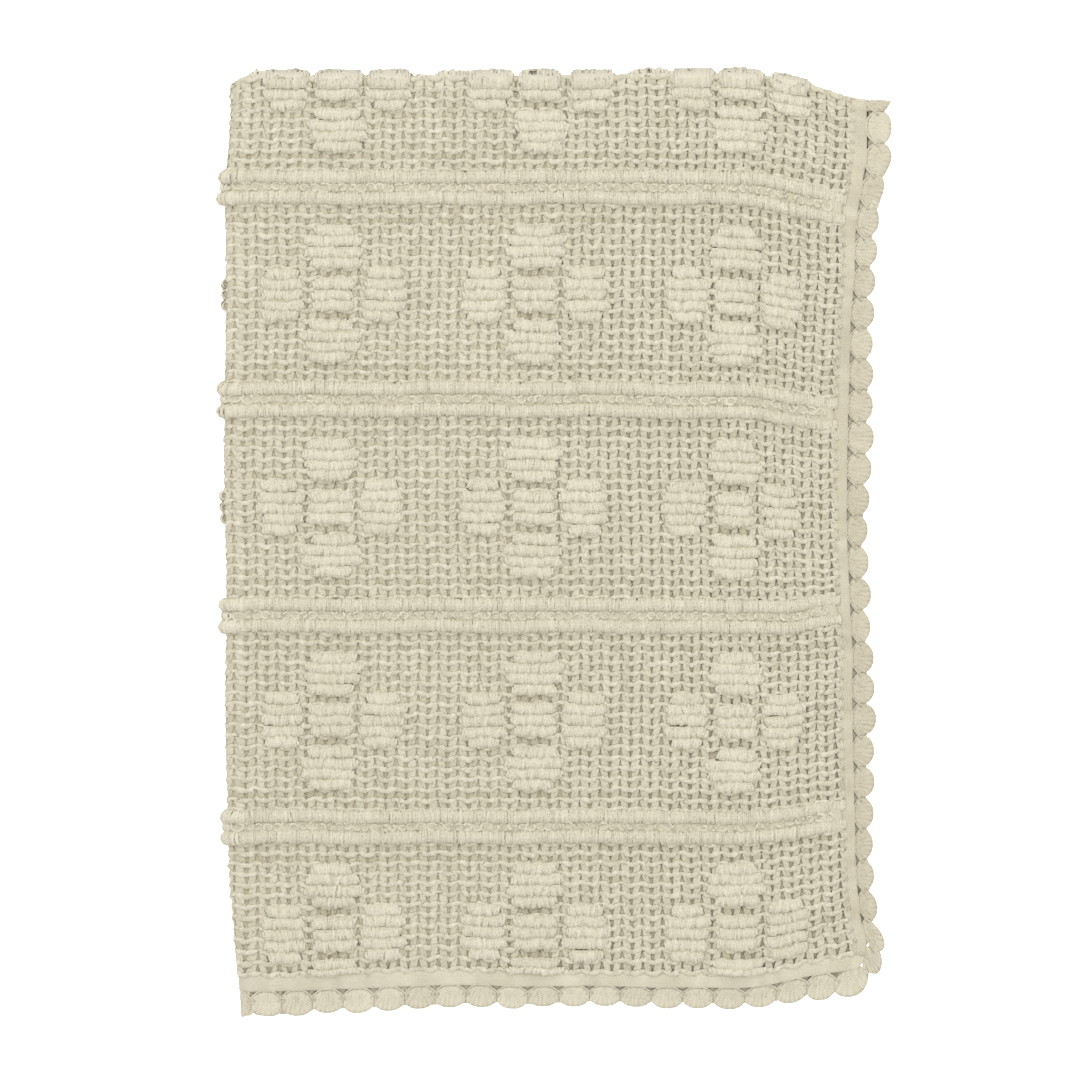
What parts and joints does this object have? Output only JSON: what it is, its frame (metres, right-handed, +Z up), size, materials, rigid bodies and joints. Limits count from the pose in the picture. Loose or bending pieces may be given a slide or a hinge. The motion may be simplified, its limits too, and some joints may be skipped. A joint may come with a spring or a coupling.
{
  "type": "folded blanket with lace edging",
  "caption": "Cotton openwork blanket with raised pile motifs, double pile bands and a scalloped lace edging, folded in quarters and lying flat.",
  "frame": {"origin": "on the surface under the middle of the folded blanket's bounding box", "axes": "+X from the closed side fold to the open long edges, +Y from the open short edges to the closed top fold, +Z up through the layers"},
  "size_m": [0.3632, 0.5096, 0.0228],
  "materials": {
    "cotton_weave": "matt undyed cotton, openwork weave with soft loop pile",
    "cotton_lace": "matt undyed cotton lace with fine thread lines"
  },
  "bodies": {
    "root": {"blanket_cloth": "cotton_weave", "lace_long_outer": "cotton_lace", "lace_long_inner": "cotton_lace", "lace_short_outer": "cotton_lace", "lace_short_inner": "cotton_lace"}
  },
  "joints": []
}
